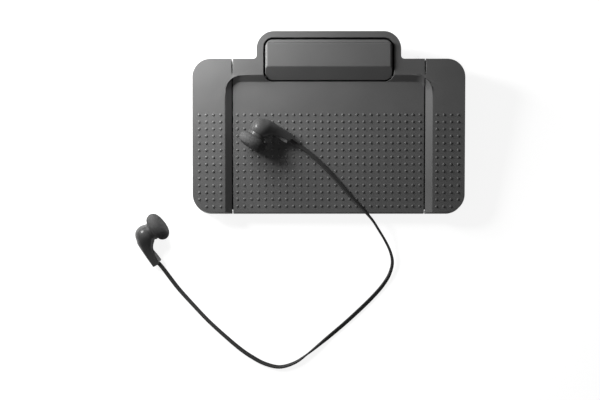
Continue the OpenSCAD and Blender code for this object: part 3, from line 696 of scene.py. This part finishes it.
def dot_field(name, body, first_x, columns, span, level, gap_at=None):
    """A grid of dots riding on one pedal; gap_at is a column whose front dot is left out."""
    dots = one_dot(name)
    step_x = span / (columns - 1)
    for count, offset in ((columns, (step_x, 0, 0)), (DOT_ROWS, (0, ROW_STEP, 0))):
        rows = dots.modifiers.new("rows", "ARRAY")
        rows.count = count
        rows.use_relative_offset = False
        rows.use_constant_offset = True
        rows.constant_offset_displace = offset
    apply_modifiers(dots)
    if gap_at is not None:
        bpy.ops.object.mode_set(mode="EDIT")
        pick_faces(lambda f: abs(f.calc_center_median().x - gap_at) < DOT_RADIUS * 1.2
                   and f.calc_center_median().y < DOT_RADIUS * 1.2)
        bpy.ops.mesh.delete(type="FACE")
        bpy.ops.object.mode_set(mode="OBJECT")
    settle(dots, deck @ Matrix.Translation((first_x, FIRST_ROW, level - DOT_SINK)))
    dress(dots, dot_plastic)
    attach(dots, body)
    print(name, "faces:", len(dots.data.polygons))
    return dots


dot_field("centre_dots", "centre", -PLATE_SPAN / 2, PLATE_COLUMNS, PLATE_SPAN, SUNKEN)
dot_field("right_dots", "right_side", RIGHT_FIRST_X, SIDE_COLUMNS, SIDE_SPAN, 0.0,
          gap_at=SIDE_SPAN)
dot_field("left_dots", "left_side", LEFT_FIRST_X, SIDE_COLUMNS, SIDE_SPAN, 0.0, gap_at=0.0)

# %% [markdown]
# ## The earphones
# Each earphone is a glossy ball with a flattened stem. It is easiest to model by itself, with
# the ball at the origin and the foam pad facing +X, and then to put it in place: the left one
# lies on the table and the right one, its mirror image, lies on the plate. The stem grows out
# of the ball with no line between them, which is what subdivision surfaces do well.

# %% Where the two earphones lie
def turned(degrees, axis):
    """A rotation matrix."""
    return Matrix.Rotation(radians(degrees), 4, axis)


LEFT_BALL = (-0.1427, -0.0862, 0.00865)
RIGHT_BALL_ON_DECK = (-0.0526, 0.0652, 0.006)
on_table = (Matrix.Translation(LEFT_BALL) @ turned(35.5, "Z") @ turned(-14, "Y")
            @ turned(8.5, "X"))
on_deck = (deck @ Matrix.Translation(RIGHT_BALL_ON_DECK) @ turned(-124.5, "Z")
           @ turned(-6, "Y") @ turned(-12, "X") @ Matrix.Scale(-1, 4, (0, 1, 0)))
ear_places = {"left": on_table, "right": on_deck}
BALL_RADIUS = 0.0082
STEM_TURN = -97.3
stem_frame = turned(STEM_TURN, "Z")
print("earphones at", [tuple(round(v, 4) for v in m.translation) for m in ear_places.values()])

# %% [markdown]
# ### The shell
# A cube is subdivided and blown up to a sphere, which gives a ball made of neat squares. Half of
# it is taken away, and the open edge is extruded in steps down to the stem's square end. Each
# step's ring is moved sideways and made narrower and flatter, and its outline goes from round
# to a rounded square, so that the stem gets a flat top. A ring is a row of numbers: how far
# out it lies, how far to the side, its width, its thickness and its squareness. A crease keeps
# the stem's outer top edge crisp once the surface is subdivided. Subdividing also shrinks a
# ball a little, so it is blown up slightly too far.

# %% The shell's rings
SHRINK = 1.012
END_INSET = 0.0004
CORNER_REACH = 0.0001
CORNER_CREASE = 0.75
shell_rings = [
    (0.0014, 0.0003, 0.0172, 0.0163, 1.0), (0.0031, 0.0008, 0.0170, 0.0156, 0.95),
    (0.0052, 0.0016, 0.0151, 0.0137, 0.9), (0.0074, 0.0026, 0.0127, 0.0118, 0.82),
    (0.0104, 0.0042, 0.0090, 0.0098, 0.75), (0.0133, 0.0047, 0.0076, 0.0083, 0.68),
    (0.0170, 0.0048, 0.0068, 0.0069, 0.6), (0.0208, 0.0047, 0.0063, 0.0060, 0.55),
    (0.0236, 0.00455, 0.0061, 0.0055, 0.5), (0.0246, 0.00455, 0.0060, 0.0054, 0.5),
    (0.0248, 0.00455, 0.0058, 0.0051, 0.5),
]


def powered(value, power):
    """A number raised to a power, keeping its sign."""
    return abs(value) ** power * (1 if value > 0 else -1)


def ring_point(angle, ring):
    """A point of a ring; its outline is round at squareness 1 and squarer below."""
    out, side, wide, thick, power = ring
    return Vector((out, 0.5 * wide * powered(cos(angle), power) - side,
                   0.5 * thick * powered(sin(angle), power)))


print("rings:", len(shell_rings))

# %% Model the shell
def ear_shell(name):
    """The ball and stem, at the origin."""
    bpy.ops.object.select_all(action="DESELECT")
    bpy.ops.mesh.primitive_cube_add(size=2 * BALL_RADIUS, location=(0, 0, 0))
    shell = bpy.context.active_object
    shell.name = name
    bpy.ops.object.mode_set(mode="EDIT")
    bpy.ops.mesh.select_all(action="SELECT")
    bpy.ops.mesh.subdivide(number_cuts=5)
    bpy.ops.object.mode_set(mode="OBJECT")
    ball = shell.modifiers.new("ball", "CAST")
    ball.cast_type = "SPHERE"
    ball.factor = 1.0
    ball.size = BALL_RADIUS * SHRINK
    ball.use_radius_as_size = False
    apply_modifiers(shell)
    bpy.ops.object.mode_set(mode="EDIT")
    pick_faces(lambda f: f.calc_center_median().x > 0)
    bpy.ops.mesh.delete(type="FACE")
    pick_edges(lambda e: e.is_boundary)
    for ring in shell_rings:
        bpy.ops.mesh.extrude_region_move(TRANSFORM_OT_translate={"value": (0.001, 0, 0)})
        mesh = bmesh.from_edit_mesh(bpy.context.edit_object.data)
        turns = mesh.verts.layers.float.get("turn")
        if turns is None:
            turns = mesh.verts.layers.float.new("turn")
            for v in mesh.verts:
                v[turns] = atan2(v.co.z, v.co.y)
        for v in mesh.verts:
            if v.select:
                v.co = ring_point(v[turns], ring)
        bmesh.update_edit_mesh(bpy.context.edit_object.data)
    bpy.ops.mesh.edge_face_add()
    bpy.ops.mesh.inset(thickness=END_INSET)
    corner = [ring_point(radians(135), ring) for ring in shell_rings[3:]]
    pick_edges(lambda e: all(min((v.co - c).length for c in corner) < CORNER_REACH
                             for v in e.verts))
    bpy.ops.transform.edge_crease(value=CORNER_CREASE)
    bpy.ops.object.mode_set(mode="OBJECT")
    smooth = shell.modifiers.new("smooth", "SUBSURF")
    smooth.levels = 2
    smooth.render_levels = 2
    apply_modifiers(shell)
    settle(shell, stem_frame)
    return shell


left_shell = ear_shell("left_earphone_shell")
low = [min(v.co[i] for v in left_shell.data.vertices) for i in range(3)]
high = [max(v.co[i] for v in left_shell.data.vertices) for i in range(3)]
print("shell box", [round(1000 * v, 2) for v in (*low, *high)])

# %% Open the shell where the pad's rim goes in
RIM_X = 0.005
SHELL_WALL = 0.0012
SHELL_HOLLOW = 0.002


def open_shell(shell):
    """Cuts the ball off flat towards the pad, with a wall round a shallow hollow."""
    pick(shell)
    bpy.ops.object.mode_set(mode="EDIT")
    bpy.ops.mesh.select_all(action="SELECT")
    bpy.ops.mesh.bisect(plane_co=(RIM_X, 0, 0), plane_no=(1, 0, 0), clear_outer=True,
                        use_fill=True)
    bpy.ops.mesh.inset(thickness=SHELL_WALL)
    bpy.ops.mesh.extrude_region_move(TRANSFORM_OT_translate={"value": (-SHELL_HOLLOW, 0, 0)})
    bpy.ops.object.mode_set(mode="OBJECT")
    bpy.ops.object.shade_smooth_by_angle(angle=radians(40))


open_shell(left_shell)
right_shell = bpy.data.objects.new("right_earphone_shell", left_shell.data.copy())
bpy.context.scene.collection.objects.link(right_shell)
for side, shell in (("left", left_shell), ("right", right_shell)):
    settle(shell, ear_places[side])
    if side == "right":
        face_outward(shell)
    dress(shell, ear_gloss)
    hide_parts(side + "_ear_shell")
    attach(shell, "headset")
    print(shell.name, "faces:", len(shell.data.polygons))

# %% [markdown]
# ### The foam pad
# The pad is a thick disc of foam with a fully round edge, a little crowned in the middle where
# it meets the ear, and with a pocket that stretches over the rim. Its skin isn't quite even,
# so after subdividing it a slow noise moves the surface in and out by a tenth of a millimetre.
# The pad sits half a millimetre off the ball's axis, towards the stem.

# %% Model a pad
PAD_X = 0.00725
PAD_THICK = 0.0095
PAD_RADIUS = 0.0115
FACE_OUT = 0.0005
POCKET_RADIUS = 0.0074
POCKET_DEPTH = 0.0057


def foam_pad(name):
    """A round-edged disc on the X axis, with a pocket in the side towards the ball."""
    bpy.ops.object.select_all(action="DESELECT")
    bpy.ops.mesh.primitive_circle_add(vertices=32, radius=POCKET_RADIUS, fill_type="NGON",
                                      location=(PAD_X + POCKET_DEPTH, 0, 0),
                                      rotation=(0, -pi / 2, 0))
    pad = bpy.context.active_object
    pad.name = name
    bpy.ops.object.transform_apply(location=True, rotation=True, scale=True)
    outline = [(POCKET_DEPTH - 0.0012, POCKET_RADIUS), (0.0009, POCKET_RADIUS),
               (0.0002, POCKET_RADIUS + 0.0003)]
    edge = PAD_THICK / 2
    turns = 10
    for i in range(turns + 1):
        angle = -pi / 2 + pi * i / turns
        outline.append((edge + edge * sin(angle), PAD_RADIUS - edge + edge * cos(angle)))
    outline += [(PAD_THICK + 0.0001, 0.0035), (PAD_THICK + 0.0002, 0.0012)]
    bpy.ops.object.mode_set(mode="EDIT")
    bpy.ops.mesh.select_all(action="SELECT")
    last_x, last_r = POCKET_DEPTH, POCKET_RADIUS
    for along, radius in outline:
        bpy.ops.mesh.extrude_region_move(TRANSFORM_OT_translate={"value": (along - last_x, 0, 0)})
        size = radius / last_r
        bpy.ops.transform.resize(value=(1, size, size), center_override=(PAD_X + along, 0, 0))
        last_x, last_r = along, radius
    bpy.ops.mesh.select_all(action="SELECT")
    bpy.ops.mesh.normals_make_consistent(inside=False)
    bpy.ops.object.mode_set(mode="OBJECT")
    smooth = pad.modifiers.new("smooth", "SUBSURF")
    smooth.levels = 2
    smooth.render_levels = 2
    uneven = bpy.data.textures.new(name + "_uneven", "CLOUDS")
    uneven.noise_scale = 0.004
    swell = pad.modifiers.new("swell", "DISPLACE")
    swell.texture = uneven
    swell.texture_coords = "LOCAL"
    swell.strength = 0.00025
    swell.mid_level = 0.5
    apply_modifiers(pad)
    bpy.ops.object.shade_smooth()
    return pad


for side in ("left", "right"):
    pad = foam_pad(side + "_foam_pad")
    settle(pad, ear_places[side] @ Matrix.Translation((0, -FACE_OUT, 0)))
    if side == "right":
        face_outward(pad)
    dress(pad, ear_foam)
    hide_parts(side + "_ear_pad")
    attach(pad, "headset")
    print(pad.name, "faces:", len(pad.data.polygons))

# %% [markdown]
# ## The floor and the light
# The object stands on a plain pale floor. The floor glows a little where the camera sees it,
# so it stays white, and it is a plain pale surface to the light that falls on it. A lamp close
# over the rear left corner makes the deck fade towards the front right. It is hidden from
# reflections, like the low one that lights the recess wall facing it, so only the far lamp
# leaves a highlight on the glossy balls of the earphones.

# %% Lay the floor
bpy.ops.object.select_all(action="DESELECT")
bpy.ops.mesh.primitive_plane_add(size=6, location=(0, 0, cad_low[2] - 0.0002))
floor = bpy.context.active_object
floor.name = "floor"
floor_paint = bpy.data.materials.new("floor_paint")
floor_paint.use_nodes = True
floor_tree = floor_paint.node_tree
floor_shader = floor_tree.nodes["Principled BSDF"]
seen = floor_tree.nodes.new("ShaderNodeLightPath").outputs["Is Camera Ray"]
floor_tree.links.new(mix_node(floor_tree, seen, grey(0.8), grey(0.3)), floor_shader.inputs["Base Color"])
floor_tree.links.new(mix_node(floor_tree, seen, grey(0.0), grey(0.88)),
                     floor_shader.inputs["Emission Color"])
floor_shader.inputs["Emission Strength"].default_value = 1.0
floor_shader.inputs["Roughness"].default_value = 0.9
floor_shader.inputs["Specular IOR Level"].default_value = 0.1
floor.data.materials.append(floor_paint)
print("floor laid")


# %% Hang the lights
def soft_light(name, place, target, size, power):
    """A round area light at a place, facing a target."""
    light = bpy.data.lights.new(name, "AREA")
    light.shape = "DISK"
    light.size = size
    light.energy = power
    lamp = bpy.data.objects.new(name, light)
    lamp.location = place
    lamp.rotation_euler = (Vector(target) - Vector(place)).to_track_quat("-Z", "Y").to_euler()
    bpy.context.scene.collection.objects.link(lamp)
    return lamp


AIM = (-0.03, 0.0, 0.02)
near_lamp = soft_light("near", (-0.15, 0.10, 0.12), AIM, 0.12, 0.85)
near_lamp.visible_glossy = False
low_lamp = soft_light("low", (-0.35, 0.08, 0.06), AIM, 0.10, 0.8)
low_lamp.visible_glossy = False
soft_light("glint", (-0.468, 0.196, 0.42), AIM, 0.14, 2.6)
world = bpy.data.worlds.new("studio")
bpy.context.scene.world = world
world.use_nodes = True
world.node_tree.nodes["Background"].inputs["Color"].default_value = (1, 1, 1, 1)
world.node_tree.nodes["Background"].inputs["Strength"].default_value = 0.12
bpy.context.scene.view_settings.view_transform = "Standard"
